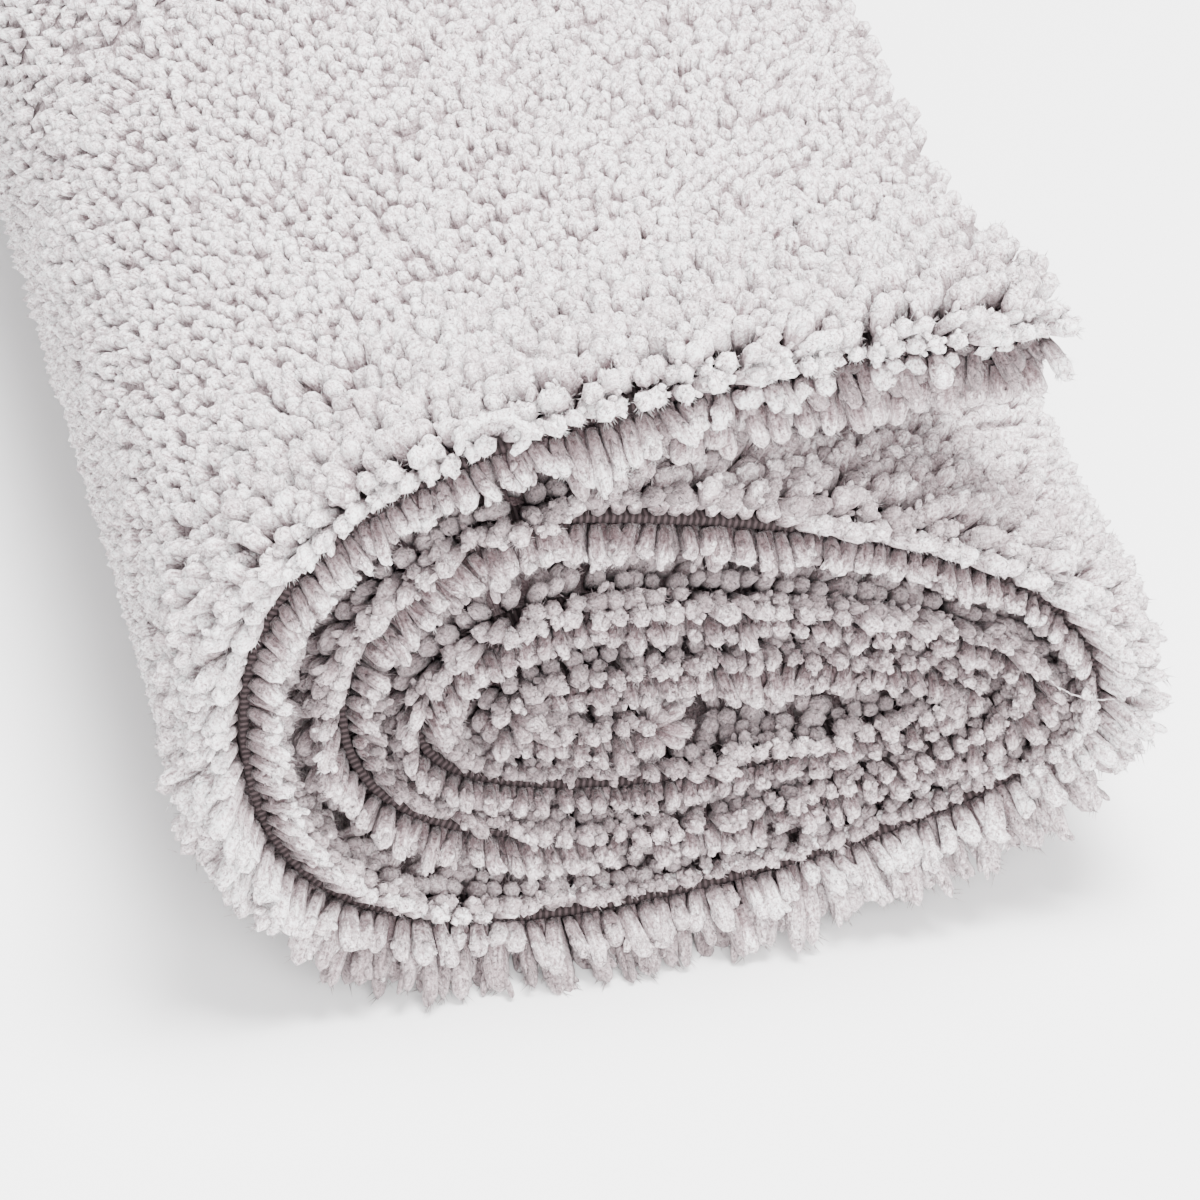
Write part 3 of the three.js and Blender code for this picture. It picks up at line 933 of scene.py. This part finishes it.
# %% What the ground and the base carry for their materials
TUFT_WIDTH = 1.2                   # millimetres
GROUND_SHADE, GROUND_LIGHTER = 0.42, 0.22   # painted shade of the ground where it shows, at the ends, and how much lighter it is painted where it fills more of the pile
HIDDEN_TIP = 0.30                  # painted shade of the ground between the turns


def set_uv(piece, places):
    """A UV map from each point's place along and across the cloth."""
    corner = np.array([v for p in piece.data.polygons for v in p.vertices])
    piece.data.uv_layers.new(name="tuft").data.foreach_set(
        "uv", places[corner].ravel().astype(np.float32))


set_uv(ground, ground_places / TUFT_WIDTH)
set_uv(base, base_places)
filled = (ground_share(*ground_places.T, +1) - SHOWN_LEAST) / SHOWN_MORE
tip = np.where(ground_places[:, 0] < OPEN_UNTIL, GROUND_SHADE + GROUND_LIGHTER * filled, HIDDEN_TIP)
set_attribute(ground.data, "tip", tip)
set_attribute(ground.data, "tone", np.full(len(tip), 0.5))
ground.data.materials.append(pile_material)
print("the ground's tip runs from", tip.min().round(2), "to", tip.max().round(2))

# %% [markdown]
# The base is a warp knit: its cut edge shows fine ribs, one beside the other along the cloth. A
# wave texture on the map of millimetres gives them at their real pitch, and its bump gives them a
# little relief. Their near-black colour is painted shade of the narrow gap between the two piles.

# %% The knitted base's material
RIB_PITCH = 0.45                   # millimetres
WAVE_LENGTH = math.pi / 10         # of a wave texture at scale 1
knit = bpy.data.materials.new("knitted base")
knit.use_nodes = True
shader = knit.node_tree.nodes["Principled BSDF"]
place = node(knit.node_tree, "ShaderNodeUVMap", uv_map="tuft")
ribs = node(knit.node_tree, "ShaderNodeTexWave", in_1=WAVE_LENGTH / RIB_PITCH, in_2=1.5, in_3=2.0)
# painted shade: the ribs are coloured near black, as the gap between the piles is dark
rib_shade = ramp(knit.node_tree, [(0.1, (0.022, 0.016, 0.0165)), (0.9, (0.060, 0.044, 0.046))])
height = node(knit.node_tree, "ShaderNodeBump", in_0=0.6, in_1=0.0003)
wire(knit.node_tree, (place, "UV", ribs, "Vector"), (ribs, "Fac", rib_shade, "Fac"),
     (ribs, "Fac", height, "Height"), (rib_shade, "Color", shader, "Base Color"),
     (height, "Normal", shader, "Normal"))
shader.inputs["Roughness"].default_value = 1.0
shader.inputs["Specular IOR Level"].default_value = 0.1
base.data.materials.append(knit)
print("rib pitch in mm:", RIB_PITCH)

# %% [markdown]
# Everything rides on the one body of the CAD model, and the ground stands for
# the CAD solid, which is then hidden.

# %% Tie the pieces to the frame
for piece in [ground, base, *pieces]:
    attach(piece, "root")
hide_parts("towel_roll")
print("pieces on the frame:", len(pieces) + 2)

# %% [markdown]
# The stage: a pale floor, a soft key light from above, a larger one from the
# front that opens up the shade between the turns, and a camera that looks down
# on the near end from the left, close to the photo's angle.

# %% Floor and lights
bpy.ops.object.select_all(action="DESELECT")
bpy.ops.mesh.primitive_plane_add(size=8, location=(0, 0, 0))
floor = bpy.context.object
floor.name = "floor"
paint = bpy.data.materials.new("pale floor")
paint.use_nodes = True
painted = paint.node_tree.nodes["Principled BSDF"].inputs
painted["Base Color"].default_value = (0.93, 0.93, 0.93, 1)
painted["Roughness"].default_value = 0.9
floor.data.materials.append(paint)

world = bpy.data.worlds.new("studio")
bpy.context.scene.world = world
world.use_nodes = True
sky = world.node_tree.nodes["Background"].inputs
sky["Color"].default_value = (0.98, 0.99, 1.0, 1)
sky["Strength"].default_value = 0.95


def softbox(name, place, aim, size, power):
    """A large square area light aimed at a point."""
    light = bpy.data.lights.new(name, "AREA")
    light.size = size
    light.energy = power
    made = bpy.data.objects.new(name, light)
    made.location = place
    made.rotation_euler = (Vector(aim) - Vector(place)).to_track_quat("-Z", "Y").to_euler()
    bpy.context.scene.collection.objects.link(made)
    return made


softbox("key", (0.15, -0.20, 1.0), (0, -0.1, 0.03), 0.5, 42.0)
softbox("fill", (0.0, -1.2, 0.55), (0, -0.12, 0.03), 0.8, 38.0)
print("lights:", [light.name for light in bpy.data.lights])

# %% Camera
ELEVATION = math.radians(34.3)
AZIMUTH = math.radians(-13.3)
DISTANCE = 0.4896      # metres
LENS = 220.2           # millimetres
AIM = Vector((-0.00544, -0.1485, 0.0301))
back = Vector((math.sin(AZIMUTH) * math.cos(ELEVATION),
               -math.cos(AZIMUTH) * math.cos(ELEVATION), math.sin(ELEVATION)))
camera = bpy.data.objects.new("camera", bpy.data.cameras.new("camera"))
camera.data.sensor_width = 36
camera.data.lens = LENS
camera.data.clip_start = 0.01
camera.data.clip_end = 20
camera.location = AIM + back * DISTANCE
camera.rotation_euler = (-back).to_track_quat("-Z", "Y").to_euler()
bpy.context.scene.collection.objects.link(camera)
bpy.context.scene.camera = camera
print("the camera stands at, in m:", [round(v, 3) for v in camera.location])
